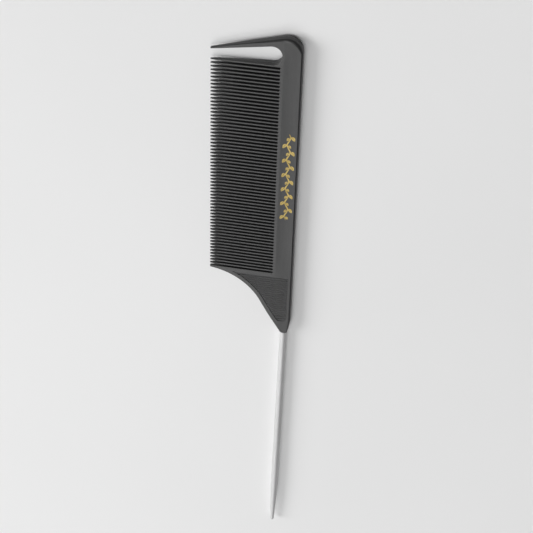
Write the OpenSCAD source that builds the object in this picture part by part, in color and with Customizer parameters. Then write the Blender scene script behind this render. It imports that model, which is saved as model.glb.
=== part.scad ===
// Rat tail comb: a flat moulded comb with fine teeth, a parting hook at the head
// and a steel tail pin set in the nose of its ribbed shoulder.
// X runs from the head to the tail tip, Y from the tooth tips to the back, Z out of
// the stamped face. The origin is under the middle of the comb as it lies flat.

/* [Teeth] */
// Distance from one tooth to the next
pitch = 1.3; // [1.2:0.05:1.6]
// Number of hair gaps between the slot and the guard horn
gap_count = 63; // [40:1:70]
// Width of a tooth at its root
tooth_w = 0.58; // [0.45:0.01:0.7]
// Width of a tooth where its point starts
tooth_tip_w = 0.46; // [0.3:0.01:0.5]
// Length of the teeth from root to tip
tooth_len = 22.7; // [21.5:0.1:23.5]
// Length of the sharpened end of a tooth
tooth_point = 2.2; // [1:0.1:3]

/* [Spine] */
// Thickness of the spine
thickness = 3.85; // [3.6:0.05:4.4]
// Height of the spine from the tooth roots to the back
spine_h = 7; // [6.8:0.1:8]
// Height of the sloping strip between the roots and the flat of the spine
land_h = 0.9; // [0.5:0.1:1.5]
// Slope of each face from that strip down to the tooth tips, in degrees
face_slope = 3.5; // [2.5:0.1:3.8]
// Chamfer along the back edge and round the head corner
edge_chamfer = 0.55; // [0.2:0.05:0.8]

/* [Parting hook] */
// Radius of the closed end of the slot behind the hook
slot_r = 3.2; // [3:0.05:3.6]
// Distance from the tooth roots down to the centre of that end
slot_drop = 2.75; // [2.5:0.05:3]
// Width of the slot at its mouth
mouth_w = 3.3; // [3:0.1:4]
// Width of the blunt end of the hook
hook_tip_w = 0.6; // [0.3:0.05:0.8]
// Radius of the head corner
corner_r = 5.4; // [4.4:0.1:5.8]
// Thickness of the bridge between the slot and the head corner
bridge_w = 3.15; // [2.6:0.05:3.4]

/* [Shoulder] */
// Width of the guard horn at its tip
horn_w = 0.9; // [0.7:0.05:1.2]
// Heading of the horn's outer edge, in degrees from the spine
horn_angle = 84.4; // [83:0.1:86]
// Radius of the concave curve from the horn to the neck
shoulder_r = 23.35; // [22.5:0.05:24]
// Angle that the concave curve turns through
shoulder_turn = 56.3; // [55:0.1:58]
// Radius of the very slight outward curve of the neck's edge
neck_r = 600; // [400:10:900]
// Distance from the last gap to the end of the nose
nose_reach = 27.2; // [26.6:0.1:28]
// Radius of the curve that eases the back edge into the nose
nose_back_r = 27; // [24:1:32]
// Distance from the end of the nose to where that curve starts
nose_ease = 7.6; // [7:0.1:8]

/* [Grip panel] */
// Depth of the recessed panel on each face
panel_depth = 0.2; // [0.15:0.05:0.35]
// Width of the rim left round the panel
panel_rim = 1.5; // [1.2:0.1:1.8]
// Length of the panel along the comb
panel_len = 19.9; // [16:0.1:20.5]
// Radius of the panel's edge along the neck, where the rim widens towards the nose
panel_r = 118; // [100:1:140]
// Distance between the ribs in the panel
rib_pitch = 0.9; // [0.7:0.05:1.2]
// Height of the ribs above the floor of the panel
rib_h = 0.15; // [0.05:0.05:0.3]

/* [Tail pin] */
// Diameter of the steel pin
pin_d = 2.6; // [2:0.1:2.8]
// Length of pin that stands out of the nose
pin_out = 101.5; // [80:0.5:120]
// Length of the pin's root, which is held inside the nose
pin_root = 15; // [10:0.5:18]
// Diameter of that root, turned down from the pin
pin_root_d = 2.1; // [1.6:0.1:2.4]
// Length of root left bare between the nose and the full diameter
pin_neck = 0.2; // [0.1:0.05:0.5]
// Length of the tapered end of the pin
pin_taper = 20; // [10:1:30]
// Diameter of the pin at its rounded tip
pin_tip_d = 1.3; // [1:0.1:1.6]
// Lean of the pin towards the teeth, in degrees
pin_lean = 0.6; // [0:0.1:1]
// Distance from the back of the spine to the pin's axis at the nose
pin_inset = 2.47; // [2.4:0.01:2.6]

/* [Foil mark] */
// Length of the stamped ornament
foil_len = 34; // [20:1:40]
// Height of the stamped ornament
foil_h = 3.6; // [2.5:0.1:4]
// Number of waves in its stem
foil_waves = 6; // [4:1:8]
// Width of its stem
foil_line = 0.26; // [0.15:0.01:0.4]
// Distance from the first gap to the start of the ornament
foil_start = 23.6; // [10:0.1:30]
// Thickness of the foil on the face
foil_t = 0.04; // [0.02:0.01:0.1]

/* [Hidden] */
$fn = 96;
over = 10;
margin = 1;
lap = 0.01;
arc_step = 4;
half_t = thickness / 2;
gap_w = pitch - tooth_w;
root_r = gap_w / 2;
// The teeth, the hook and the spine meet face to face on this line.
root_y = -root_r;
tip_y = -tooth_len;

// Head: the slot's closed end, the corner's centre and the hook's tip
first_edge = -root_r - tooth_w;
slot_c = [first_edge - slot_r, -slot_drop];
corner_c = [slot_c[0] - slot_r - bridge_w + corner_r, spine_h - corner_r];
hook_in = [first_edge - mouth_w, tip_y];
hook_out = hook_in - [hook_tip_w, 0];
slot_heading = tangent_heading(hook_in, slot_c, slot_r);
hook_heading = tangent_heading(hook_out, corner_c, corner_r);
hook_root = hook_out + (root_y - tip_y) * [1 / tan(hook_heading), 1];
slot_cut = asin((root_y - slot_c[1]) / slot_r);

// Shoulder: two arcs that meet with one heading where the neck starts
last_edge = (gap_count - 1) * pitch + root_r;
horn_tip = [last_edge + horn_w, tip_y];
shoulder_c = horn_tip + shoulder_r * [sin(horn_angle), -cos(horn_angle)];
neck_heading = horn_angle - shoulder_turn;
neck_start = shoulder_c + shoulder_r * [-sin(neck_heading), cos(neck_heading)];
neck_side = [-sin(neck_heading), cos(neck_heading)];
neck_c = neck_start + neck_r * neck_side;
nose_x = last_edge + nose_reach;
panel_x = last_edge + panel_rim;
panel_c = neck_start + panel_r * neck_side;

// Tail pin and its seat
pin_r = pin_d / 2;
root_step = 0.2;
root_pin_r = min(pin_root_d, pin_d - root_step) / 2;
pin_c = [nose_x, spine_h - pin_inset, 0];
pin_tip_x = nose_x + pin_out * cos(pin_lean);
groove_w = 0.8;
groove_depth = 0.2;
groove_step = 2.4;

// Foil ornament
foil_wave = foil_len / foil_waves;
foil_y = 3.7;
stem_swing = 0.15 * foil_h;
leaf_angle = 38;
leaf_length = 0.5 * foil_h;
leaf_width = 0.2 * foil_h;
leaf_gap = 1.5 * foil_line;
leaf_phase = 0.35;

// The head corner's chamfer is this much wider and deeper than the back's.
corner_width = 1.6 * edge_chamfer;
corner_depth = 1.1 * edge_chamfer;

// How far the first tooth's point stands back from the straight line of its side
first_point_inset = 0.1;

// From the spine's own frame, with its origin at the first gap's root, to the row's
head_x = corner_c[0] - corner_r;
row_shift = [-(head_x + pin_tip_x) / 2, -(spine_h + tip_y) / 2, half_t];

// Heading of the line from p that touches the circle of radius r about c on its left.
function tangent_heading(p, c, r) =
    atan2(c[1] - p[1], c[0] - p[0]) + asin(r / norm(c - p));

// Points along an arc about c, from angle a0 to angle a1.
function arc(c, r, a0, a1) =
    let (steps = ceil(abs(a1 - a0) / arc_step))
    [for (i = [0:steps]) let (a = a0 + (a1 - a0) * i / steps) c + r * [cos(a), sin(a)]];

// Half thickness of the faces at height y, lowered by inset.
function face_z(y, inset) = half_t - inset - max(0, land_h - y) * tan(face_slope);

// Solid with the given plan, between faces lowered by inset from the comb's own.
module faced(inset = 0) {
    chamfer_y = spine_h - edge_chamfer;
    side = [
        [spine_h, half_t - inset - edge_chamfer],
        [chamfer_y, half_t - inset],
        [land_h, half_t - inset],
        [tip_y - margin, face_z(tip_y - margin, inset)]
    ];
    profile = concat(side, [for (i = [len(side) - 1:-1:0]) [side[i][0], -side[i][1]]]);
    intersection() {
        translate([0, 0, -thickness]) linear_extrude(2 * thickness) children();
        translate([head_x - over, 0, 0]) rotate([90, 0, 90])
            linear_extrude(nose_x - head_x + 2 * over) polygon(profile);
    }
}

// Rounded ends of the hair gaps, which notch the spine between the teeth.
module gap_ends() {
    for (k = [0:gap_count - 1])
        translate([k * pitch, root_y]) circle(r = root_r, $fn = 32);
}

module band(y0, y1, x0, x1) {
    translate([x0, y0]) square([x1 - x0, y1 - y0]);
}

// Cutter that chamfers both faces round the head corner, wider than along the back.
module corner_chamfer() {
    slope = corner_depth / corner_width;
    intersection() {
        for (side = [0, 1])
            mirror([0, 0, side]) translate([corner_c[0], corner_c[1], 0])
                rotate_extrude() polygon([
                    [corner_r - corner_width, half_t],
                    [corner_r + margin, half_t - (corner_width + margin) * slope],
                    [corner_r + margin, half_t + margin],
                    [corner_r - corner_width, half_t + margin]
                ]);
        translate([head_x - over, corner_c[1], -thickness])
            cube([corner_c[0] - head_x + over, over, 2 * thickness]);
    }
}

// The slot's closed end is cut from the spine, and the hook takes up its near side.
module spine_plan() {
    difference() {
        polygon(concat(
            [[last_edge, root_y], [last_edge, spine_h]],
            arc(corner_c, corner_r, 90, hook_heading + 90),
            [hook_root]
        ));
        translate(slot_c) circle(r = slot_r);
        gap_ends();
    }
}

module spine() {
    color("dimgray") translate(row_shift) difference() {
        faced() spine_plan();
        corner_chamfer();
    }
}

module parting_hook() {
    color("dimgray") translate(row_shift) faced() polygon(concat(
        [hook_in, hook_out, hook_root],
        arc(slot_c, slot_r, 180 - slot_cut, slot_heading + 90)
    ));
}

module tooth_plan() {
    point_y = tip_y + tooth_point;
    polygon([
        [-tooth_w / 2, root_y], [-tooth_tip_w / 2, point_y], [-tooth_tip_w / 6, tip_y],
        [tooth_tip_w / 6, tip_y], [tooth_tip_w / 2, point_y], [tooth_w / 2, root_y]
    ]);
}

// The first tooth borders the slot and flares into its closed end.
module first_tooth_plan() {
    polygon(concat(
        [[-root_r, root_y]],
        arc(slot_c, slot_r, slot_cut, 0),
        [[first_edge, tip_y + tooth_point], [first_edge + tooth_w / 3, tip_y],
         [first_edge + tooth_w / 2, tip_y],
         [-root_r - first_point_inset, tip_y + tooth_point]]
    ));
}

module fine_teeth() {
    color("dimgray") translate(row_shift) {
        faced() first_tooth_plan();
        for (k = [1:gap_count - 1])
            faced() translate([(k - 0.5) * pitch, 0]) tooth_plan();
    }
}

module shoulder_plan() {
    nose_back_c = [nose_x - nose_ease, spine_h - nose_back_r];
    difference() {
        union() {
            band(tip_y, spine_h, last_edge, neck_start[0]);
            intersection() {
                band(tip_y, spine_h, neck_start[0] - lap, nose_x + margin);
                translate(neck_c) circle(r = neck_r, $fn = 720);
                union() {
                    translate(nose_back_c) circle(r = nose_back_r, $fn = 180);
                    band(tip_y, spine_h, last_edge, nose_back_c[0]);
                }
            }
        }
        translate(shoulder_c) circle(r = shoulder_r, $fn = 180);
        nose_cut();
    }
}

// The nose ends square to the pin, which leans a little from the comb's length.
module nose_cut() {
    translate([pin_c[0], pin_c[1]]) rotate(-pin_lean) translate([0, -over]) square(2 * over);
}

module panel_plan() {
    intersection() {
        band(tip_y, spine_h - panel_rim, panel_x, panel_x + panel_len);
        translate(panel_c) circle(r = panel_r - panel_rim, $fn = 360);
        difference() {
            band(tip_y, spine_h, panel_x, nose_x);
            translate(shoulder_c) circle(r = shoulder_r + panel_rim, $fn = 180);
        }
    }
}

module ribs_plan() {
    intersection() {
        panel_plan();
        for (x = [panel_x + rib_pitch / 2:rib_pitch:panel_x + panel_len])
            band(tip_y, spine_h, x, x + rib_pitch / 2);
    }
}

module tail_shoulder() {
    color("dimgray") translate(row_shift) difference() {
        union() {
            faced() difference() {
                shoulder_plan();
                panel_plan();
            }
            faced(panel_depth) panel_plan();
            faced(panel_depth - rib_h) ribs_plan();
        }
        pin_solid();
    }
}

// The pin turned about its axis: grooved root, plain shank, tapered and rounded tip.
module pin_solid() {
    bottom_r = root_pin_r - groove_depth;
    tip_r = pin_tip_d / 2;
    grooves = [
        for (x = [groove_step - pin_root:groove_step:-groove_step])
            each [[root_pin_r, x], [bottom_r, x], [bottom_r, x + groove_w], [root_pin_r, x + groove_w]]
    ];
    translate(pin_c) rotate([0, 90, -pin_lean])
        rotate_extrude() polygon(concat(
            [[0, -pin_root], [bottom_r, -pin_root], [root_pin_r, groove_depth - pin_root]],
            grooves,
            [[root_pin_r, pin_neck], [pin_r, pin_neck], [pin_r, pin_out - pin_taper]],
            [for (a = [0:15:75]) [tip_r * cos(a), pin_out - tip_r + tip_r * sin(a)]],
            [[0, pin_out]]
        ));
}

module tail_pin() {
    color("silver") translate(row_shift) pin_solid();
}

// Height of the ornament's stem at x, measured from its left-hand end.
function stem_y(x) = stem_swing * sin(360 * x / foil_wave);

module stem_plan() {
    steps = foil_waves * 12;
    line = [for (i = [0:steps]) let (x = foil_len * i / steps) [x, stem_y(x)]];
    polygon(concat(
        [for (p = line) p + [0, foil_line / 2]],
        [for (i = [steps:-1:0]) line[i] - [0, foil_line / 2]]
    ));
}

// Pointed leaf that starts at the origin and lies along X.
module leaf_plan(length, width) {
    steps = 8;
    edge = [for (i = [0:steps]) [length * i / steps, width / 2 * sin(180 * i / steps)]];
    polygon(concat(edge, [for (i = [steps - 1:-1:1]) [edge[i][0], -edge[i][1]]]));
}

// A waved stem with leaves that alternate above and below it.
module foil_plan() {
    stem_plan();
    for (i = [0:2 * foil_waves - 1]) {
        x = (i + leaf_phase) * foil_wave / 2;
        side = i % 2 == 0 ? 1 : -1;
        translate([x, stem_y(x) + side * leaf_gap])
            rotate(side * leaf_angle) leaf_plan(leaf_length, leaf_width);
    }
}

module foil_mark() {
    color("darkkhaki") translate(row_shift)
        translate([foil_start, foil_y, half_t]) linear_extrude(foil_t) foil_plan();
}

spine();
parting_hook();
fine_teeth();
tail_shoulder();
tail_pin();
foil_mark();
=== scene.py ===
"""Rat tail comb: one dark moulding, a turned steel pin and a gold foil ornament.

The moulding is one closed mesh. Its outline is walked once round, each point with the
place on the face where its bevel ends, and both faces are filled between those points.
Lengths are in millimetres from the root of the first hair gap until they are placed.
"""

import math

import bpy
from mathutils import Matrix, Vector
from mathutils.geometry import delaunay_2d_cdt


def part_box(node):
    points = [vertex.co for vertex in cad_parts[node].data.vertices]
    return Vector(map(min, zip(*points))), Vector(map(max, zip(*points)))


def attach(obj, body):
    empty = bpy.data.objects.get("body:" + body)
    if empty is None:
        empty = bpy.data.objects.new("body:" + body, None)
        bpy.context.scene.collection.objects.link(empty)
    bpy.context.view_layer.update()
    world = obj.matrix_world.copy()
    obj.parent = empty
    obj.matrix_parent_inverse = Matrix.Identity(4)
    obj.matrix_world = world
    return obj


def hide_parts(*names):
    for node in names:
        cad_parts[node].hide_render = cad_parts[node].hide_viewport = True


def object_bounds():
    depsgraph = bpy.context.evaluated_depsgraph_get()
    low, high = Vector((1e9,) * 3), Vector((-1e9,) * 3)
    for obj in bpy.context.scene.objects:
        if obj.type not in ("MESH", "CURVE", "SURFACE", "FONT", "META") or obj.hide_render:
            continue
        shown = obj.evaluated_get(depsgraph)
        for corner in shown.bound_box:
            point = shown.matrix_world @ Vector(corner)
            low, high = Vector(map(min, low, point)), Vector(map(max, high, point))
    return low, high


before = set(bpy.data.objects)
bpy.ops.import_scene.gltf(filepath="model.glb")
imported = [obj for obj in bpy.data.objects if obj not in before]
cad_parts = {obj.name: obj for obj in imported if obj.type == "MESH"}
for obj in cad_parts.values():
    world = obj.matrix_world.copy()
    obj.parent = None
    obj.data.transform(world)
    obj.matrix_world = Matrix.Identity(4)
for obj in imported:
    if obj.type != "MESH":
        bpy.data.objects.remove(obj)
cad_lo, cad_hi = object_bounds()

# ---------------------------------------------------------------- sizes, in mm
MM = 0.001
PITCH = 1.3
GAPS = 63
TOOTH_W = 0.58
TOOTH_TIP_W = 0.46
TOOTH_POINT = 2.2
TIP_Y = -22.7
SPINE_H = 7.0
LAND_H = 0.9
FACE_SLOPE = math.tan(math.radians(3.5))
ROOT_R = (PITCH - TOOTH_W) / 2
ROOT_Y = -ROOT_R
POINT_Y = TIP_Y + TOOTH_POINT
LAST_EDGE = (GAPS - 1) * PITCH + ROOT_R
FIRST_EDGE = -ROOT_R - TOOTH_W

SLOT_R = 3.2
SLOT_DROP = 2.75
SLOT_C = Vector((FIRST_EDGE - SLOT_R, -SLOT_DROP))
BRIDGE_W = 3.15
CORNER_R = 5.4
CORNER_C = Vector((SLOT_C.x - SLOT_R - BRIDGE_W + CORNER_R, SPINE_H - CORNER_R))
MOUTH_W = 3.3
HOOK_TIP_W = 0.6
HOOK_IN = Vector((FIRST_EDGE - MOUTH_W, TIP_Y))
HOOK_OUT = HOOK_IN - Vector((HOOK_TIP_W, 0))

HORN_W = 0.9
HORN_ANGLE = 84.4
SHOULDER_R = 23.35
SHOULDER_TURN = 56.3
NECK_HEADING = HORN_ANGLE - SHOULDER_TURN
NECK_R = 600.0
PANEL_R = 118.0
NOSE_REACH = 27.2
NOSE_X = LAST_EDGE + NOSE_REACH
NOSE_BACK_R = 27.0
NOSE_EASE = 7.6

PANEL_RIM = 1.5
PANEL_X = LAST_EDGE + PANEL_RIM
PANEL_LEN = 19.9
PANEL_DEPTH = 0.2
PANEL_WALL = 0.12
RIB_PITCH = 0.9
RIB_H = 0.15

# Bevels: how far each runs in over the face, and how far down it leaves the wall
BACK_IN = 0.62
BACK_DROP = 0.55
EDGE_IN = 0.09
EDGE_DROP = 0.08
SHOULDER_IN = 0.14
SHOULDER_DROP = 0.22
NOSE_IN = 0.62
NOSE_DROP = 1.0

PIN_LEAN = math.radians(0.6)
PIN_INSET = 2.47
PIN_OUT = 101.5
PIN_ROOT = 15.0

# ------------------------------------------------------- the frame's own places
spine_lo, spine_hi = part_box("spine")
shoulder_lo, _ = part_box("tail_shoulder")
_, teeth_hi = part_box("fine_teeth")
HALF_T = (spine_hi.z - spine_lo.z) / 2 / MM
ORIGIN = Vector((
    shoulder_lo.x - LAST_EDGE * MM,
    teeth_hi.y - ROOT_Y * MM,
    (spine_lo.z + spine_hi.z) / 2,
))


def place(x, y, z):
    """A point of the comb, in metres in the frame."""
    return ORIGIN + Vector((x, y, z)) * MM


# ------------------------------------------------------------- small geometry
def ray(degrees):
    return Vector((math.cos(math.radians(degrees)), math.sin(math.radians(degrees))))


def polar(centre, radius, degrees):
    return centre + ray(degrees) * radius


def angle_of(centre, point):
    d = point - centre
    return math.degrees(math.atan2(d.y, d.x))


def tangent_heading(point, centre, radius):
    """Heading of the line from point that touches the circle on its left."""
    d = centre - point
    return math.degrees(math.atan2(d.y, d.x) + math.asin(radius / d.length))


def spread(a, b, count):
    """count + 1 even values from a to b."""
    return [a + (b - a) * i / count for i in range(count + 1)]


def smooth(a, b, x):
    t = min(1.0, max(0.0, (x - a) / (b - a)))
    return t * t * (3 - 2 * t)


def table(rows, x):
    """Straight-line values between rows of (x, value), x rising."""
    if x <= rows[0][0]:
        return rows[0][1]
    for (x0, v0), (x1, v1) in zip(rows, rows[1:]):
        if x <= x1:
            return v0 + (v1 - v0) * (x - x0) / (x1 - x0)
    return rows[-1][1]


def bend(a, b, c, count):
    """Points of the quadratic curve from a to c with its corner at b."""
    return [a * (1 - t) ** 2 + b * 2 * t * (1 - t) + c * t * t for t in spread(0, 1, count)]


def slanting(foot, heading, y):
    """The point at height y on the line through foot."""
    return Vector((foot.x + (y - foot.y) / math.tan(math.radians(heading)), y))


def meet(centre, radius, point, along, sign):
    """Where the line through point cuts the circle, the far or near root by sign."""
    d = point - centre
    half = d.dot(along)
    root = math.sqrt(half * half - d.length_squared + radius * radius)
    return point + along * (-half + sign * root)


SHOULDER_C = Vector((LAST_EDGE + HORN_W, TIP_Y)) + SHOULDER_R * Vector(
    (math.sin(math.radians(HORN_ANGLE)), -math.cos(math.radians(HORN_ANGLE)))
)
NECK_START = polar(SHOULDER_C, SHOULDER_R, NECK_HEADING + 90)
NECK_C = polar(NECK_START, NECK_R, NECK_HEADING + 90)
PANEL_C = polar(NECK_START, PANEL_R, NECK_HEADING + 90)
NOSE_BACK_C = Vector((NOSE_X - NOSE_EASE, SPINE_H - NOSE_BACK_R))
PIN_C = Vector((NOSE_X, SPINE_H - PIN_INSET))
PIN_ALONG = Vector((math.cos(PIN_LEAN), -math.sin(PIN_LEAN)))
PIN_ACROSS = Vector((math.sin(PIN_LEAN), math.cos(PIN_LEAN)))

# ------------------------------------------------------------------- the faces
# The spine's face is hollow by DISH, fading in and out along X between these places.
DISH = 0.07
DISH_IN = (-7, -1)
DISH_OUT = (75, 82)
FACE_TOP = SPINE_H - BACK_IN
DISH_MID = (LAND_H + FACE_TOP) / 2
DISH_HALF = FACE_TOP - DISH_MID
STRIP_R = SLOT_R + LAND_H
NECK_BLEND = 4
THIN_FROM = -20.6
THIN_BY = 0.1


def face_height(x, y):
    """Height of the front face over the mid plane."""
    fall = max(0.0, LAND_H - y)
    slot_side = STRIP_R - (Vector((x, y)) - SLOT_C).length
    fall = max(fall, slot_side if y > SLOT_C.y else 0.0)
    if x > NECK_START.x - NECK_BLEND:
        neck_side = PANEL_RIM - PANEL_R + (Vector((x, y)) - PANEL_C).length
        fall = max(fall, neck_side * smooth(NECK_START.x - NECK_BLEND, NECK_START.x, x))
    across = (y - DISH_MID) / DISH_HALF
    ends = smooth(*DISH_IN, x) * (1 - smooth(*DISH_OUT, x))
    hollow = DISH * ends * max(0.0, 1 - across * across)
    thin = THIN_BY * max(0.0, (THIN_FROM - y) / (THIN_FROM - TIP_Y)) ** 2
    return HALF_T - fall * FACE_SLOPE - hollow - thin


# ----------------------------------------------------------------- the outline
# Each point is (place on the wall, place where the bevel meets the face, drop).
# The wall is walked with the comb on the left hand.
outline = []


def add(wall, crease, drop):
    outline.append((wall, crease, drop))


def add_tip(mid, half, rows, drop):
    """A blunt tip, from rows of (across, up) on the wall and (across, up) on the crease."""
    for across, up, in_across, in_up in rows:
        add(
            Vector((mid + across * half, TIP_Y + up)),
            Vector((mid + in_across * half, TIP_Y + in_up)),
            drop,
        )


# The nose's corners, on the wall and (in) on the crease
BACK_IN_R = NOSE_BACK_R - BACK_IN
NECK_IN_R = PANEL_R - SHOULDER_IN
nose_low = meet(NECK_C, NECK_R, PIN_C, PIN_ACROSS, -1)
nose_top = meet(NOSE_BACK_C, NOSE_BACK_R, PIN_C, PIN_ACROSS, 1)
nose_in = PIN_C - PIN_ALONG * NOSE_IN
nose_low_in = meet(PANEL_C, NECK_IN_R, nose_in, PIN_ACROSS, -1)
nose_top_in = meet(NOSE_BACK_C, BACK_IN_R, nose_in, PIN_ACROSS, 1)

# Their rounding: mm along the neck, mm up the nose, mm down it and degrees along the back
LOW_ALONG, LOW_ALONG_IN = 0.4, 0.9
LOW_UP, LOW_UP_IN = 0.4, 0.45
TOP_DOWN, TOP_DOWN_IN = 0.35, 0.45
TOP_TURN, TOP_TURN_IN = 0.6, 1.0
neck_from = NECK_HEADING - 90
neck_to = angle_of(NECK_C, nose_low) - math.degrees(LOW_ALONG / NECK_R)
neck_to_in = angle_of(PANEL_C, nose_low_in) - math.degrees(LOW_ALONG_IN / PANEL_R)
back_from = angle_of(NOSE_BACK_C, nose_top) + TOP_TURN
back_from_in = angle_of(NOSE_BACK_C, nose_top_in) + TOP_TURN_IN


def walk_back():
    """From the nose along the back to the head corner."""
    for t in spread(0, 1, 14):
        add(
            polar(NOSE_BACK_C, NOSE_BACK_R, back_from + (90 - back_from) * t),
            polar(NOSE_BACK_C, BACK_IN_R, back_from_in + (90 - back_from_in) * t),
            NOSE_DROP + (BACK_DROP - NOSE_DROP) * smooth(0, 0.8, t),
        )
    for x in spread(NOSE_BACK_C.x, CORNER_C.x, 36)[1:-1]:
        add(Vector((x, SPINE_H)), Vector((x, FACE_TOP)), BACK_DROP)


# The head's crease is an arc of its own, and its bevel deepens by HEAD_SWELL half way.
HEAD_C = Vector((-3.74, 1.07))
HEAD_R = 5.62
HEAD_FROM = 109.1
HEAD_TO = 186.0
HEAD_SWELL = 0.3
HOOK_HEADING = tangent_heading(HOOK_OUT, CORNER_C, CORNER_R)
SLOT_HEADING = tangent_heading(HOOK_IN, SLOT_C, SLOT_R)
# The hook's outer bevel, as rows of (height, value), and the heights it is walked at
HOOK_INSETS = [(-22.4, 0.2), (-17.9, 0.2), (-11.6, 0.28), (-5.6, 0.57), (-1.0, 0.74)]
HOOK_DROPS = [(-22.4, 0.16), (-17.9, 0.26), (-11.6, 0.36), (-5.6, 0.55), (-1.0, 0.7)]
HOOK_STOPS = (-5.6, -8, -10.5, -13, -15.5, -17.9, -20, -21.6, -22.45)
HOOK_TIP = (
    (-0.27, 0.12, -0.1, 0.22), (-0.16, 0.03, -0.06, 0.17), (0, 0, 0, 0.15),
    (0.17, 0.03, 0.08, 0.17), (0.29, 0.12, 0.16, 0.22),
)
HOOK_TIP_DROP = 0.13
SLOT_SIDE_SHARE = 0.3
SLOT_SIDE_LEAST = 0.03


def walk_head():
    """Round the head corner and down the outside of the hook."""
    last = HOOK_HEADING + 90
    share = (last - 90) / (HEAD_TO - HEAD_FROM)
    land = 180 + math.degrees(math.asin((HEAD_C.y - LAND_H) / HEAD_R))
    stops = spread(90, last, 24) + [90 + (land - HEAD_FROM) * share]
    for a in sorted(stops):
        swell = math.sin(math.radians(180 * (a - 90) / (last - 90)))
        add(
            polar(CORNER_C, CORNER_R, a),
            polar(HEAD_C, HEAD_R, HEAD_FROM + (a - 90) / share),
            BACK_DROP + HEAD_SWELL * swell,
        )
    inward = ray(HOOK_HEADING - 90)
    for y in (-1.0, -2.4, -3.8) + HOOK_STOPS:
        wall = slanting(HOOK_OUT, HOOK_HEADING, y)
        add(wall, wall + inward * table(HOOK_INSETS, y), table(HOOK_DROPS, y))


def walk_hook_tip():
    """Round the blunt end of the hook and up its slot side to the slot's closed end."""
    add_tip((HOOK_OUT.x + HOOK_IN.x) / 2, 1, HOOK_TIP, HOOK_TIP_DROP)
    inward = ray(SLOT_HEADING + 90)
    for y in HOOK_STOPS[::-1] + (-4.4,):
        wall = slanting(HOOK_IN, SLOT_HEADING, y)
        inset = min(EDGE_IN, SLOT_SIDE_SHARE * table(HOOK_INSETS, y) + SLOT_SIDE_LEAST)
        add(wall, wall + inward * inset, EDGE_DROP)
    for a in spread(SLOT_HEADING + 90, 0, 36):
        add(polar(SLOT_C, SLOT_R, a), polar(SLOT_C, SLOT_R + EDGE_IN, a), EDGE_DROP)


# A tooth swells by BELLY at its wall. Its point narrows by POINT_TAPER, and over the FINE
# heights its bevel widens to FINE_SHARE of the half width and deepens by FINE_DROP.
BELLY = 0.06
POINT_TAPER = 0.72
POINT_CURVE = 1.3
FINE_FROM = -17.8
FINE_FULL = -21.0
FINE_SHARE = 0.78
FINE_DROP = 0.07
FIRST_TIP_HALF = 0.24
SIDE_STOPS = (
    -3.5, -7, -10.5, -13.5, -16, -17.6, -18.8, -19.7, -20.5, -21.1, -21.6, -22.05, -22.4,
)
TOOTH_TIP = (
    (-0.8, 0.13, -0.2, 0.24), (-0.45, 0.03, -0.12, 0.21), (0, 0, 0, 0.2),
    (0.45, 0.03, 0.12, 0.21), (0.8, 0.13, 0.2, 0.24),
)
TOOTH_TIP_DROP = 0.14


def tooth_edge(y, tip_half):
    """Half width of a tooth at height y, and the inset and drop of its bevel."""
    root_half = TOOTH_W / 2
    face = root_half + (tip_half - root_half) * (ROOT_Y - y) / (ROOT_Y - POINT_Y) - EDGE_IN
    half = root_half + BELLY
    if y < POINT_Y:
        half *= 1 - POINT_TAPER * ((POINT_Y - y) / TOOTH_POINT) ** POINT_CURVE
    fine = 1 - smooth(FINE_FULL, FINE_FROM, y)
    share = (1 - face / half) * (1 - fine) + FINE_SHARE * fine
    return half, share * half, EDGE_DROP + FINE_DROP * fine


def walk_teeth():
    """Down and up every tooth, with the round end of each gap between them."""
    gap_wide = ROOT_R - BELLY
    gap_high = ROOT_R - BELLY / 2
    for k in range(GAPS):
        root_x = tip_x = (k - 0.5) * PITCH
        tip_half = TOOTH_TIP_W / 2
        if k == 0:
            tip_half = FIRST_TIP_HALF
            tip_x = FIRST_EDGE + tip_half
        sides = []
        for y in SIDE_STOPS:
            down = min(1.0, (ROOT_Y - y) / (ROOT_Y - POINT_Y))
            sides.append((root_x + (tip_x - root_x) * down, y, *tooth_edge(y, tip_half)))
        for mid, y, half, inset, drop in sides:
            add(Vector((mid - half, y)), Vector((mid - half + inset, y)), drop)
        add_tip(sides[-1][0], sides[-1][2], TOOTH_TIP, TOOTH_TIP_DROP)
        for mid, y, half, inset, drop in reversed(sides):
            add(Vector((mid + half, y)), Vector((mid + half - inset, y)), drop)
        gap = Vector((k * PITCH, ROOT_Y))
        for a in spread(180, 0, 10):
            wall = gap + Vector((gap_wide * ray(a).x, gap_high * ray(a).y))
            add(wall, polar(gap, ROOT_R + EDGE_IN, a), EDGE_DROP)


# The horn's two rounded corners: where each starts and ends from its corner, on the wall
# and on the crease, and where the last one joins the shoulder's curve, in degrees.
HORN_STOPS = (-3.5, -8, -13, -17, -20, -21.6)
HORN_DROP = 0.17
HORN_LOW = (Vector((0, 0.35)), Vector((0.36, 0)))
HORN_HIGH = Vector((-0.38, 0))
HORN_TURN = 88.8
HORN_LOW_IN = (Vector((0, 0.3)), Vector((0.24, 0)))
HORN_HIGH_IN = Vector((-0.24, 0))
HORN_TURN_IN = 88.4
HORN_FROM_LOW = Vector((0.1, 0.2))
HORN_FROM_HIGH = Vector((-0.16, 0.2))


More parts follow.
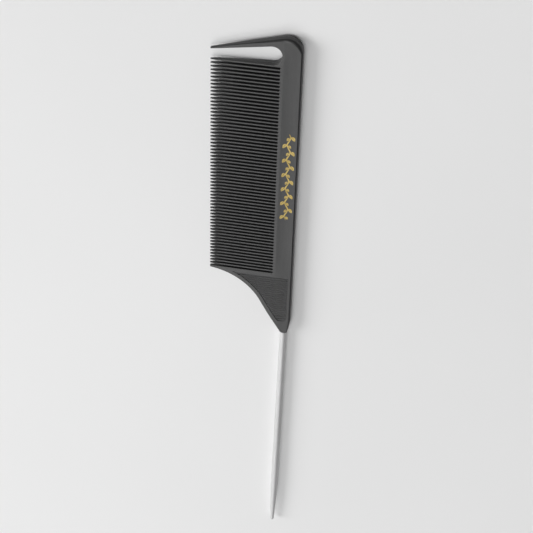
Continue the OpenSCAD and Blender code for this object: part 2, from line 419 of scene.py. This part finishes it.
def walk_horn():
    """Down the horn beside the last gap, round its tip and up the shoulder's curve."""
    for y in HORN_STOPS:
        add(Vector((LAST_EDGE, y)), Vector((LAST_EDGE + EDGE_IN, y)), EDGE_DROP)
    low = Vector((LAST_EDGE, TIP_Y))
    high = Vector((LAST_EDGE + HORN_W, TIP_Y))
    first = HORN_ANGLE + HORN_TURN
    wall = bend(low + HORN_LOW[0], low, low + HORN_LOW[1], 4)
    wall += bend(high + HORN_HIGH, high, polar(SHOULDER_C, SHOULDER_R, first), 4)
    low_in = low + HORN_FROM_LOW
    high_in = high + HORN_FROM_HIGH
    in_r = SHOULDER_R + SHOULDER_IN
    join_in = polar(SHOULDER_C, in_r, HORN_ANGLE + HORN_TURN_IN)
    crease = bend(low_in + HORN_LOW_IN[0], low_in, low_in + HORN_LOW_IN[1], 4)
    crease += bend(high_in + HORN_HIGH_IN, high_in, join_in, 4)
    for p, c in zip(wall, crease):
        add(p, c, HORN_DROP)
    for t in spread(0, 1, 44)[1:-1]:
        a = first + (NECK_HEADING + 90 - first) * t
        drop = HORN_DROP + (SHOULDER_DROP - HORN_DROP) * smooth(0, 0.3, t)
        add(polar(SHOULDER_C, SHOULDER_R, a), polar(SHOULDER_C, in_r, a), drop)


def walk_neck():
    """Along the neck to the nose, round its end and up to the back."""
    land = -math.degrees(math.asin((PANEL_C.y - LAND_H) / NECK_IN_R))
    land_share = (land - neck_from) / (neck_to_in - neck_from)
    for t in sorted(spread(0, 1, 20) + [land_share]):
        add(
            polar(NECK_C, NECK_R, neck_from + (neck_to - neck_from) * t),
            polar(PANEL_C, NECK_IN_R, neck_from + (neck_to_in - neck_from) * t),
            SHOULDER_DROP + (NOSE_DROP - SHOULDER_DROP) * smooth(0.1, 1, t),
        )
    neck_end = polar(NECK_C, NECK_R, neck_to)
    neck_end_in = polar(PANEL_C, NECK_IN_R, neck_to_in)
    back_end = polar(NOSE_BACK_C, NOSE_BACK_R, back_from)
    back_end_in = polar(NOSE_BACK_C, BACK_IN_R, back_from_in)
    wall = bend(neck_end, nose_low, nose_low + PIN_ACROSS * LOW_UP, 5)[1:]
    wall += bend(nose_top - PIN_ACROSS * TOP_DOWN, nose_top, back_end, 4)[:-1]
    crease = bend(neck_end_in, nose_low_in, nose_low_in + PIN_ACROSS * LOW_UP_IN, 5)[1:]
    top_start_in = nose_top_in - PIN_ACROSS * TOP_DOWN_IN
    crease += bend(top_start_in, nose_top_in, back_end_in, 4)[:-1]
    for p, c in zip(wall, crease):
        add(p, c, NOSE_DROP)


walk_back()
walk_head()
walk_hook_tip()
walk_teeth()
walk_horn()
walk_neck()

# ------------------------------------------------------------ mesh of one half
# The wall rises from the parting line's RIDGE, leans in by DRAFT, and rounds into the face.
RIDGE = 0.03
RIDGE_Z = 0.1
DRAFT = 0.015
BEVEL_ARC = math.radians(66)
BEVEL_STEPS = 4
verts = []
faces = []
sharp = set()
worn = []


def put(x, y, z):
    verts.append((x, y, z))
    return len(verts) - 1


def on_face(x, y):
    return put(x, y, face_height(x, y))


def add_face(corners, wear=0):
    faces.append(tuple(corners))
    worn.append(wear)


def add_sharp(*pairs):
    sharp.update(frozenset(pair) for pair in pairs)


def line(points, closed=False):
    """The pairs of neighbours in a row of points."""
    pairs = list(zip(points, points[1:]))
    return pairs + [(points[-1], points[0])] if closed else pairs


def wall_steps(reach, shoulder, drop):
    """(distance in, height) of each ring of the wall and of the bevel over it."""
    lip = min(RIDGE, 0.25 * reach)
    draft = min(lip + DRAFT * shoulder, 0.4 * reach)
    steps = [(0.0, 0.0), (lip, min(RIDGE_Z, 0.5 * shoulder)), (draft, shoulder)]
    for i in range(1, BEVEL_STEPS + 1):
        a = BEVEL_ARC * i / BEVEL_STEPS
        go = (1 - math.cos(a)) / (1 - math.cos(BEVEL_ARC))
        rise = math.sin(a) / math.sin(BEVEL_ARC)
        steps.append((draft + (reach - draft) * go, shoulder + drop * rise))
    return steps


rings = [[] for _ in range(3 + BEVEL_STEPS)]
for wall, crease, drop in outline:
    shoulder = face_height(crease.x, crease.y) - drop
    across = crease - wall
    inward = across / across.length
    for ring, (offset, z) in zip(rings, wall_steps(across.length, shoulder, drop)):
        p = wall + inward * offset
        ring.append(put(p.x, p.y, z))

for level, (low, high) in enumerate(zip(rings, rings[1:])):
    for (a, b), (c, d) in zip(line(low, True), line(high, True)):
        add_face((a, b, d, c), max(0, level - 1))
parting_ring, crease_ring = rings[0], rings[-1]
add_sharp(*line(parting_ring, True), *line(crease_ring, True))


# -------------------------------------------------------------- the grip panel
RIB_PARTS = (0.5, 0.56, 0.64, 0.75, 0.86, 0.94, 1.0)
RIB_END = 0.2
RIB_ROUND = 0.7
LAND_CLEAR = 0.05


def panel_low(x, inset):
    """Lower edge of the panel at x, drawn in by inset."""
    rim = PANEL_RIM + inset
    join = polar(SHOULDER_C, SHOULDER_R + rim, NECK_HEADING + 90)
    if x < join.x:
        r = SHOULDER_R + rim
        return SHOULDER_C.y + math.sqrt(max(0.0, r * r - (x - SHOULDER_C.x) ** 2))
    r = PANEL_R - rim
    return PANEL_C.y - math.sqrt(r * r - (x - PANEL_C.x) ** 2)


def rib_height(x):
    """Height of the rounded ribs over the panel's floor at x."""
    across = (x - PANEL_X) / RIB_PITCH - 0.5
    phase = (across - math.floor(across)) * 2
    if phase >= 1 or across < 0 or x > PANEL_END - RIB_END:
        return 0.0
    return RIB_H * math.sin(math.pi * phase) ** RIB_ROUND


PANEL_END = PANEL_X + PANEL_LEN
PANEL_TOP = SPINE_H - PANEL_RIM
FLOOR_TOP = PANEL_TOP - PANEL_WALL
land_x = PANEL_C.x + math.sqrt((PANEL_R - PANEL_RIM) ** 2 - (PANEL_C.y - LAND_H) ** 2)
columns = [PANEL_X, PANEL_END, land_x]
for i in range(int(PANEL_LEN / RIB_PITCH)):
    columns += [PANEL_X + (i + part) * RIB_PITCH for part in RIB_PARTS]
columns = sorted(x for x in columns if x <= PANEL_END)
stretch = (PANEL_LEN - 2 * PANEL_WALL) / PANEL_LEN

low_rim, low_floor, top_rim, top_floor, mid_floor = [], [], [], [], []
for x in columns:
    low_rim.append(on_face(x, panel_low(x, 0)))
    top_rim.append(on_face(x, PANEL_TOP))
    floor_x = PANEL_X + PANEL_WALL + (x - PANEL_X) * stretch
    floor_low = panel_low(floor_x, PANEL_WALL)
    rise = rib_height(x) - PANEL_DEPTH
    low_floor.append(put(floor_x, floor_low, face_height(floor_x, floor_low) + rise))
    top_floor.append(put(floor_x, FLOOR_TOP, face_height(floor_x, FLOOR_TOP) + rise))
    if floor_low < LAND_H - LAND_CLEAR:
        mid_floor.append(put(floor_x, LAND_H, HALF_T + rise))
    else:
        mid_floor.append(low_floor[-1])
left_rim = put(PANEL_X, LAND_H, HALF_T)

for i in range(len(columns) - 1):
    j = i + 1
    lower = list(dict.fromkeys((low_floor[i], low_floor[j], mid_floor[j], mid_floor[i])))
    if len(lower) > 2:
        add_face(lower)
    add_face((mid_floor[i], mid_floor[j], top_floor[j], top_floor[i]))
    add_face((low_rim[i], low_rim[j], low_floor[j], low_floor[i]))
    add_face((top_floor[i], top_floor[j], top_rim[j], top_rim[i]))
for edge_line in (low_rim, top_rim, low_floor, top_floor):
    add_sharp(*line(edge_line))
add_face((left_rim, low_rim[0], low_floor[0], mid_floor[0]))
add_face((top_rim[0], left_rim, mid_floor[0], top_floor[0]))
add_face((low_rim[-1], top_rim[-1], top_floor[-1], low_floor[-1]))
add_sharp(
    (left_rim, low_rim[0]), (left_rim, top_rim[0]), (low_rim[-1], top_rim[-1]),
    (low_floor[0], mid_floor[0]), (mid_floor[0], top_floor[0]),
    (low_floor[-1], top_floor[-1]),
)
panel_loop = low_rim + list(reversed(top_rim)) + [left_rim]


# --------------------------------------------------------------- the front face
def nearest(points, x, y):
    return min(points, key=lambda v: (verts[v][0] - x) ** 2 + (verts[v][1] - y) ** 2)


# The firm folds: along the land, over the slot, and from the panel to the neck
STRIP_LEAD = 1.4
LAND_BEYOND = 1.2
PANEL_CLEAR = 1.2
# The soft lines, which only shape the triangles over the hollow
SOFT_ROWS = (1.45, 2.2, 3.0, DISH_MID, 4.3, 5.0, 5.7)
SOFT_FROM = -6.5
SOFT_LEAN = 0.2
SOFT_CLEAR = 0.9
CDT_KEEP_INSIDE = 1
CDT_EPSILON = 1e-6

strip_half = math.sqrt(STRIP_R ** 2 - (LAND_H - SLOT_C.y) ** 2)
strip_at = angle_of(SLOT_C, Vector((SLOT_C.x + strip_half, LAND_H)))
strip = [on_face(*polar(SLOT_C, STRIP_R, a)) for a in spread(180 - strip_at, strip_at, 16)]
strip_end = verts[strip[-1]][0]
neck_crease = [v for v in crease_ring if verts[v][0] > NECK_START.x]
land_left = nearest(crease_ring, HEAD_C.x - HEAD_R, LAND_H)
land_right = nearest(neck_crease, land_x + LAND_BEYOND, LAND_H)
panel_land = nearest(low_rim, land_x, LAND_H)
land_cells = int((PANEL_X - PANEL_RIM - strip_end) / (2 * PITCH))
land_stops = spread(strip_end, PANEL_X - PANEL_CLEAR, land_cells)[1:]
fold = [land_left, on_face(SLOT_C.x - strip_half - STRIP_LEAD, LAND_H)] + strip
fold += [on_face(x, LAND_H) for x in land_stops] + [left_rim]
soft = []
for y in SOFT_ROWS:
    row = spread(SOFT_FROM + SOFT_LEAN * y, PANEL_X - SOFT_CLEAR, 46)
    soft += line([on_face(x, y) for x in row])
firm = line(fold) + [(panel_land, land_right)]
loops = line(crease_ring, True) + line(panel_loop, True)

used = sorted({v for pair in loops + firm + soft for v in pair})
index = {v: i for i, v in enumerate(used)}
flat = [Vector(verts[v][:2]) for v in used]
links = [(index[a], index[b]) for a, b in loops + firm + soft]
firm_ids = set(range(len(loops), len(loops) + len(firm)))
out_v, out_e, out_f, from_v, from_e, _ = delaunay_2d_cdt(
    flat, links, [], CDT_KEEP_INSIDE, CDT_EPSILON
)

ids = []
for p, source in zip(out_v, from_v):
    ids.append(used[source[0]] if source else on_face(p.x, p.y))
add_sharp(*(
    (ids[a], ids[b]) for (a, b), source in zip(out_e, from_e) if firm_ids.intersection(source)
))


def in_panel(x, y):
    return PANEL_X < x < PANEL_END and panel_low(x, 0) < y < PANEL_TOP


for tri in out_f:
    a, b, c = (out_v[i] for i in tri)
    mid = (a + b + c) / 3
    if in_panel(mid.x, mid.y):
        continue
    order = tri if (b - a).cross(c - a) > 0 else reversed(tri)
    add_face(ids[i] for i in order)

# -------------------------------------------------------- both halves, one mesh
seam = set(parting_ring)
mirror = {}
for v, (x, y, z) in enumerate(list(verts)):
    mirror[v] = v if v in seam else put(x, y, -z)
for corners in list(faces):
    faces.append(tuple(mirror[v] for v in reversed(corners)))
worn += worn
add_sharp(*([mirror[v] for v in pair] for pair in list(sharp)))


def new_object(name, points, polygons, smooth_faces=True):
    mesh = bpy.data.meshes.new(name)
    mesh.from_pydata(points, [], polygons)
    mesh.polygons.foreach_set("use_smooth", [smooth_faces] * len(mesh.polygons))
    mesh.validate()
    mesh.update()
    obj = bpy.data.objects.new(name, mesh)
    bpy.context.scene.collection.objects.link(obj)
    return obj


moulding = new_object("comb_moulding", [place(*p) for p in verts], faces)
for edge in moulding.data.edges:
    if frozenset(edge.vertices) in sharp:
        edge.use_edge_sharp = True
wear = moulding.data.attributes.new("edge_wear", "FLOAT", "FACE")
wear.data.foreach_set("value", [float(w) / BEVEL_STEPS for w in worn])


# ------------------------------------------------------------------ the tail pin
PIN_R = 1.3
PIN_TIP_R = 0.65
PIN_TIP_LEN = 0.62
PIN_TAPER = 20.0
PIN_TAPER_CURVE = 1.15
PIN_SIDES = 64
PIN_NECK = 0.2
ROOT_PIN_R = 1.05
ROOT_CHAMFER = 0.3
GROOVE_R = 0.85
GROOVES = 5
GROOVE_FIRST = 3.0
GROOVE_PITCH = 2.4
GROOVE_HALF = 0.4
GROOVE_FLOOR_HALF = 0.28
# The rounded shoulder where the full diameter starts: (radius, distance from the nose)
PIN_SHOULDER = [(1.22, 0.2), (1.28, 0.23), (PIN_R, 0.32)]
PIN_SHANK_FROM = 0.9


def pin_profile():
    """(radius, distance along the axis from the nose) from the root to the tip."""
    rows = [(0.0, -PIN_ROOT), (ROOT_PIN_R - ROOT_CHAMFER, -PIN_ROOT)]
    rows.append((ROOT_PIN_R, -PIN_ROOT + ROOT_CHAMFER))
    for i in range(GROOVES):
        at = -PIN_ROOT + GROOVE_FIRST + i * GROOVE_PITCH
        rows += [(ROOT_PIN_R, at - GROOVE_HALF), (GROOVE_R, at - GROOVE_FLOOR_HALF)]
        rows += [(GROOVE_R, at + GROOVE_FLOOR_HALF), (ROOT_PIN_R, at + GROOVE_HALF)]
    rows += [(ROOT_PIN_R, -0.05), (ROOT_PIN_R, PIN_NECK)] + PIN_SHOULDER
    shank = PIN_OUT - PIN_TAPER
    rows += [(PIN_R, s) for s in spread(PIN_SHANK_FROM, shank, 60)]
    for t in spread(0, 1, 24)[1:]:
        r = PIN_R + (PIN_TIP_R - PIN_R) * t ** PIN_TAPER_CURVE
        rows.append((r, shank + (PIN_TAPER - PIN_TIP_LEN) * t))
    for a in spread(0, 90, 7)[1:-1]:
        rows.append((PIN_TIP_R * ray(a).x, PIN_OUT - PIN_TIP_LEN + PIN_TIP_LEN * ray(a).y))
    return rows + [(0.0, PIN_OUT)]


def turn_pin():
    """The profile turned round the pin's axis, with sharp rings up to the neck's end."""
    sides = PIN_SIDES
    points, polygons = [], []
    rows = pin_profile()
    for r, s in rows[1:-1]:
        for k in range(sides):
            d = ray(360 * k / sides)
            p = PIN_C + PIN_ALONG * s + PIN_ACROSS * (r * d.x)
            points.append(place(p.x, p.y, r * d.y))
    inner = len(rows) - 2
    for i in range(inner - 1):
        for k in range(sides):
            a, b = i * sides + k, i * sides + (k + 1) % sides
            polygons.append((a, b, b + sides, a + sides))
    ends = []
    for _, s in (rows[0], rows[-1]):
        p = PIN_C + PIN_ALONG * s
        ends.append(len(points))
        points.append(place(p.x, p.y, 0))
    for k in range(sides):
        n = (k + 1) % sides
        polygons.append((ends[0], n, k))
        polygons.append((ends[1], (inner - 1) * sides + k, (inner - 1) * sides + n))
    obj = new_object("tail_pin_steel", points, polygons)
    firm_rings = {i for i, (_, s) in enumerate(rows[1:-1]) if s <= PIN_NECK}
    for edge in obj.data.edges:
        a, b = (v // sides for v in edge.vertices)
        if a == b and a in firm_rings:
            edge.use_edge_sharp = True
    return obj


pin = turn_pin()

# -------------------------------------------------------------- the foil ornament
foil_lo, foil_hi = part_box("foil_mark")
FOIL_LEN = (foil_hi.x - foil_lo.x) / MM
FOIL_START = (foil_lo.x - ORIGIN.x) / MM
FOIL_Y = 3.7
FOIL_H = 3.6
FOIL_WAVES = 6
FOIL_LINE = 0.38
FOIL_T = 0.03
FOIL_SUNK = 0.05
WAVE = FOIL_LEN / FOIL_WAVES
SWING = 0.15 * FOIL_H
STEM_END = 0.02
# The stem is drawn thin at its ends and swells and thins along its waves.
STEM_THIN = 0.35
STEM_THIN_OVER = 3
STEM_SWELL = 0.25
VEIN = 0.035
VEIN_SPREAD = 0.02
# Leaves: (place past the bud, side, angle, length, width, bow), lengths in foil heights
BUD_AT = 0.35
LEAVES = ((0, 1, 36, 0.56, 0.3, 0.12), (0.5, -1, 40, 0.42, 0.22, 0.1))
LEAF_OFF = 0.8
BERRY_AT = 0.95
BERRY_R = 0.2
BERRY_OFF = 0.5


def stem_y(x):
    return SWING * math.sin(2 * math.pi * x / WAVE)


def foil_piece(points, polygons, rows):
    """Adds a strip of foil, pressed on the face, between rows of (left, right) points."""
    base = len(points)
    for left, right in rows:
        for u, v in (left, right):
            x, y = FOIL_START + u, FOIL_Y + v
            top = face_height(x, y)
            points.append(place(x, y, top - FOIL_SUNK))
            points.append(place(x, y, top + FOIL_T))
    for i in range(len(rows) - 1):
        a = base + 4 * i
        b = a + 4
        polygons.append((a + 1, b + 1, b + 3, a + 3))
        polygons.append((a + 2, b + 2, b, a))
        polygons.append((a, b, b + 1, a + 1))
        polygons.append((a + 3, b + 3, b + 2, a + 2))
    a, b = base, base + 4 * (len(rows) - 1)
    polygons.append((a, a + 1, a + 3, a + 2))
    polygons.append((b + 2, b + 3, b + 1, b))


def turned(point, at, degrees):
    c = ray(degrees)
    return (at[0] + point[0] * c.x - point[1] * c.y, at[1] + point[0] * c.y + point[1] * c.x)


def foil_leaf(points, polygons, at, degrees, length, width, bow):
    """A leaf in two halves with a thin vein left bare between them."""
    for side in (1, -1):
        rows = []
        for t in spread(0.03, 0.97, 12):
            lift = bow * math.sin(math.pi * t)
            outer = width * math.sin(math.pi * t ** 0.8) ** 0.9
            vein = VEIN + VEIN_SPREAD * (1 - t)
            near = turned((length * t, lift + side * vein), at, degrees)
            far = turned((length * t, lift + side * (vein + outer / 2)), at, degrees)
            rows.append((far, near) if side > 0 else (near, far))
        foil_piece(points, polygons, [(b, a) for a, b in rows])


def foil_disc(points, polygons, at, radius):
    rows = []
    for a in spread(0, 180, 10):
        x = at[0] - radius * 0.999 * ray(a).x
        half = max(0.012, radius * ray(a).y)
        rows.append(((x, at[1] - half), (x, at[1] + half)))
    foil_piece(points, polygons, rows)


def build_foil():
    """A waving stem with a large and a small leaf and a berry at each bud."""
    points, polygons = [], []
    rows = []
    for x in spread(STEM_END, FOIL_LEN - STEM_END, FOIL_WAVES * 20):
        slope = SWING * 2 * math.pi / WAVE * math.cos(2 * math.pi * x / WAVE)
        end = min(x, FOIL_LEN - x)
        taper = min(1, STEM_THIN + end / STEM_THIN_OVER)
        swell = 1 + STEM_SWELL * math.sin(4 * math.pi * x / WAVE)
        half = FOIL_LINE / 2 * taper * swell * math.sqrt(1 + slope * slope)
        rows.append(((x, stem_y(x) - half), (x, stem_y(x) + half)))
    foil_piece(points, polygons, rows)
    for i in range(2 * FOIL_WAVES):
        bud_side = 1 if i % 2 == 0 else -1
        bud = (i + BUD_AT) * WAVE / 2
        for past, turn, angle, length, width, bow in LEAVES:
            x = bud + past
            side = bud_side * turn
            at = (x, stem_y(x) + side * FOIL_LINE * LEAF_OFF)
            size = (FOIL_H * length, FOIL_H * width)
            foil_leaf(points, polygons, at, side * angle, *size, side * bow)
        x = bud + BERRY_AT
        at = (x, stem_y(x) + bud_side * (FOIL_LINE / 2 + BERRY_OFF))
        foil_disc(points, polygons, at, BERRY_R)
    return new_object("foil_ornament", points, polygons, False)


foil = build_foil()


# --------------------------------------------------------------------- materials
def grey(level):
    return (level, level, level)


class Nodes:
    """Short hand for building one material's node tree. Bump distances are in metres."""

    def __init__(self, name):
        self.material = bpy.data.materials.new(name)
        self.material.use_nodes = True
        self.tree = self.material.node_tree
        self.shader = self.tree.nodes["Principled BSDF"]
        self.place = self.new("ShaderNodeTexCoord").outputs["Object"]

    def new(self, kind, **values):
        node = self.tree.nodes.new(kind)
        for key, value in values.items():
            setattr(node, key, value)
        return node

    def link(self, a, b):
        self.tree.links.new(a, b)

    def scaled(self, scale, turn=(0, 0, 0)):
        node = self.new("ShaderNodeMapping")
        node.inputs["Scale"].default_value = scale
        node.inputs["Rotation"].default_value = turn
        self.link(self.place, node.inputs["Vector"])
        return node.outputs["Vector"]

    def noise(self, scale, detail=3.0, rough=0.5, vector=None):
        node = self.new("ShaderNodeTexNoise")
        node.inputs["Scale"].default_value = scale
        node.inputs["Detail"].default_value = detail
        node.inputs["Roughness"].default_value = rough
        self.link(vector or self.place, node.inputs["Vector"])
        return node.outputs["Fac"]

    def ramp(self, value, stops):
        node = self.new("ShaderNodeValToRGB")
        while len(node.color_ramp.elements) < len(stops):
            node.color_ramp.elements.new(0.5)
        for element, (at, colour) in zip(node.color_ramp.elements, stops):
            element.position = at
            element.color = (*colour, 1)
        self.link(value, node.inputs["Fac"])
        return node.outputs["Color"]

    def spread(self, value, low, high, to_low, to_high):
        node = self.new("ShaderNodeMapRange")
        for name, number in (
            ("From Min", low), ("From Max", high), ("To Min", to_low), ("To Max", to_high),
        ):
            node.inputs[name].default_value = number
        self.link(value, node.inputs["Value"])
        return node.outputs["Result"]

    def math(self, kind, a, b):
        node = self.new("ShaderNodeMath", operation=kind)
        for socket, value in zip(node.inputs, (a, b)):
            if isinstance(value, (int, float)):
                socket.default_value = value
            else:
                self.link(value, socket)
        return node.outputs["Value"]

    def mix(self, amount, a, b):
        """Colour a, with amount of b over it."""
        node = self.new("ShaderNodeMix", data_type="RGBA")
        sockets = (node.inputs[0], node.inputs[6], node.inputs[7])
        for socket, value in zip(sockets, (amount, a, b)):
            if isinstance(value, (int, float)):
                socket.default_value = value
            elif isinstance(value, tuple):
                socket.default_value = (*value, 1)
            else:
                self.link(value, socket)
        return node.outputs[2]

    def bump(self, layers):
        """Chains (height, strength, distance) layers into the shader's normal."""
        normal = None
        for height, strength, distance in layers:
            node = self.new("ShaderNodeBump")
            node.inputs["Strength"].default_value = strength
            node.inputs["Distance"].default_value = distance
            self.link(height, node.inputs["Height"])
            if normal:
                self.link(normal, node.inputs["Normal"])
            normal = node.outputs["Normal"]
        self.link(normal, self.shader.inputs["Normal"])

    def set(self, **values):
        for key, value in values.items():
            socket = self.shader.inputs[key.replace("_", " ")]
            if isinstance(value, bpy.types.NodeSocket):
                self.link(value, socket)
            else:
                socket.default_value = value


def plastic():
    """Dark satin plastic with carbon fleck, flow marks, hairline scratches and rubbed edges."""
    m = Nodes("carbon_plastic_satin")
    cloud = m.noise(160, 4, 0.55)
    flow = m.noise(1, 3, 0.6, m.scaled((60, 900, 300)))
    grain = m.noise(9000, 2, 0.6)
    fleck = m.noise(5200, 1, 0.4)
    scratch = m.noise(1, 2, 0.5, m.scaled((380, 9000, 3000), (0, 0, 0.35)))
    scratch_b = m.noise(1, 2, 0.5, m.scaled((8000, 260, 3000), (0, 0, -0.2)))
    where = m.noise(90, 2, 0.5)
    edge = m.new("ShaderNodeAttribute", attribute_name="edge_wear").outputs["Fac"]

    base = m.ramp(cloud, [(0.3, grey(0.016)), (0.7, grey(0.021))])
    base = m.mix(m.spread(flow, 0.35, 0.7, 0, 0.35), base, grey(0.034))
    base = m.mix(m.spread(fleck, 0.7, 0.78, 0, 0.5), base, grey(0.075))
    line_a = m.spread(scratch, 0.70, 0.74, 0, 1)
    line_b = m.spread(scratch_b, 0.72, 0.76, 0, 1)
    lines = m.math("MAXIMUM", line_a, line_b)
    lines = m.math("MULTIPLY", lines, m.spread(where, 0.45, 0.65, 0, 1))
    base = m.mix(m.math("MULTIPLY", lines, 0.25), base, grey(0.09))
    rubbed = m.math("MULTIPLY", edge, m.spread(cloud, 0.4, 0.65, 0.15, 0.6))
    base = m.mix(m.math("MULTIPLY", rubbed, 0.5), base, grey(0.04))
    rough = m.spread(cloud, 0.3, 0.7, 0.35, 0.41)
    rough = m.math("SUBTRACT", rough, m.math("MULTIPLY", rubbed, 0.12))
    rough = m.math("ADD", rough, m.math("MULTIPLY", lines, 0.1))
    m.set(Base_Color=base, Roughness=rough, IOR=1.5)
    m.bump([(grain, 0.35, 0.00001), (flow, 0.25, 0.00003), (lines, 0.3, 0.000004)])
    return m.material


def steel():
    """Steel drawn along its length, with fine ground rings and faint handling marks."""
    m = Nodes("steel_drawn")
    drawn = m.noise(1, 4, 0.6, m.scaled((45, 7000, 7000)))
    ground = m.noise(1, 2, 0.5, m.scaled((5200, 40, 40)))
    smudge = m.noise(220, 3, 0.5)
    base = m.ramp(drawn, [(0.3, grey(0.58)), (0.7, grey(0.65))])
    base = m.mix(m.spread(smudge, 0.5, 0.75, 0, 0.3), base, (0.54, 0.54, 0.535))
    rough = m.spread(drawn, 0.3, 0.7, 0.62, 0.70)
    rough = m.math("ADD", rough, m.spread(smudge, 0.5, 0.8, 0, 0.08))
    m.set(Base_Color=base, Roughness=rough, Metallic=0.8)
    m.bump([(drawn, 0.25, 0.000006), (ground, 0.15, 0.000003)])
    return m.material


def gold():
    """Hot-stamped foil, slightly crazed, with the plastic's grain showing through."""
    m = Nodes("gold_foil_stamped")
    grain = m.noise(7000, 3, 0.6)
    patch = m.noise(900, 3, 0.6)
    base = m.ramp(patch, [(0.32, (0.29, 0.21, 0.06)), (0.66, (0.43, 0.33, 0.12))])
    base = m.mix(m.spread(grain, 0.64, 0.72, 0, 0.6), base, (0.18, 0.135, 0.06))
    rough = m.spread(patch, 0.3, 0.7, 0.36, 0.5)
    m.set(Base_Color=base, Roughness=rough, Metallic=0.85)
    m.bump([(grain, 0.4, 0.000008)])
    return m.material


def paper():
    """The pale matt sheet under the comb."""
    m = Nodes("floor_pale")
    tooth = m.noise(2500, 4, 0.6)
    cloud = m.noise(5, 2, 0.5)
    base = m.ramp(cloud, [(0.35, grey(0.75)), (0.65, grey(0.77))])
    m.set(Base_Color=base, Roughness=0.9, Specular_IOR_Level=0.2)
    m.bump([(tooth, 0.15, 0.00001)])
    return m.material


def finish_piece(obj, material, nodes):
    obj.data.materials.clear()
    obj.data.materials.append(material)
    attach(obj, "root")
    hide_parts(*nodes)


moulding_nodes = ("spine", "parting_hook", "fine_teeth", "tail_shoulder")
finish_piece(moulding, plastic(), moulding_nodes)
finish_piece(pin, steel(), ("tail_pin",))
finish_piece(foil, gold(), ("foil_mark",))

# ------------------------------------------------------- floor, light and camera
# The sheet is flat under and round the comb, and sweeps up beyond the lights.
FLOOR_HALF = 3.6
FLOOR_FLAT = 1.6
FLOOR_SWEEP = 0.32
FLOOR_CELLS = 48


def floor_height(x, y):
    return cad_lo.z + FLOOR_SWEEP * max(0.0, math.hypot(x, y) - FLOOR_FLAT) ** 2


floor_stops = spread(-FLOOR_HALF, FLOOR_HALF, FLOOR_CELLS)
grid = [Vector((x, y, floor_height(x, y))) for y in floor_stops for x in floor_stops]
row = FLOOR_CELLS + 1
cells = [
    (j * row + i, j * row + i + 1, (j + 1) * row + i + 1, (j + 1) * row + i)
    for j in range(FLOOR_CELLS)
    for i in range(FLOOR_CELLS)
]
floor = new_object("floor", grid, cells)
floor.data.materials.append(paper())


def area_light(name, at, size, power):
    """A round light that faces the middle of the comb."""
    light = bpy.data.lights.new(name, "AREA")
    light.shape = "DISK"
    light.size = size
    light.energy = power
    obj = bpy.data.objects.new(name, light)
    obj.location = at
    obj.rotation_euler = (-Vector(at)).to_track_quat("-Z", "Y").to_euler()
    bpy.context.scene.collection.objects.link(obj)


area_light("key", (-0.15, -1.94, 1.05), 1.3, 40.9)
area_light("sheen", (1.29, -0.62, 1.67), 1.4, 13.8)
area_light("top", (0.1, 0, 2.19), 1.3, 17.2)

world = bpy.data.worlds.new("studio")
bpy.context.scene.world = world
world.use_nodes = True
sky = world.node_tree.nodes["Background"]
sky.inputs["Color"].default_value = (1, 1, 1, 1)
sky.inputs["Strength"].default_value = 0.09
bpy.context.scene.view_settings.view_transform = "Standard"

# The photo's view, with the comb's head at the top of the picture
CAMERA_AT = (-0.2925, 0.0444, 0.3628)
CAMERA_RIGHT = (-0.02782, 0.99136, -0.12821)
CAMERA_FORWARD = (0.60049, -0.08597, -0.79500)
camera_data = bpy.data.cameras.new("camera")
camera_data.sensor_width = 36
camera_data.lens = 86.64
camera_data.clip_start = 0.01
camera_data.clip_end = 20
camera = bpy.data.objects.new("camera", camera_data)
right = Vector(CAMERA_RIGHT).normalized()
forward = Vector(CAMERA_FORWARD).normalized()
up = right.cross(forward).normalized()
right = forward.cross(up)
camera.matrix_world = Matrix((
    (right.x, up.x, -forward.x, CAMERA_AT[0]),
    (right.y, up.y, -forward.y, CAMERA_AT[1]),
    (right.z, up.z, -forward.z, CAMERA_AT[2]),
    (0, 0, 0, 1),
))
bpy.context.scene.collection.objects.link(camera)
bpy.context.scene.camera = camera
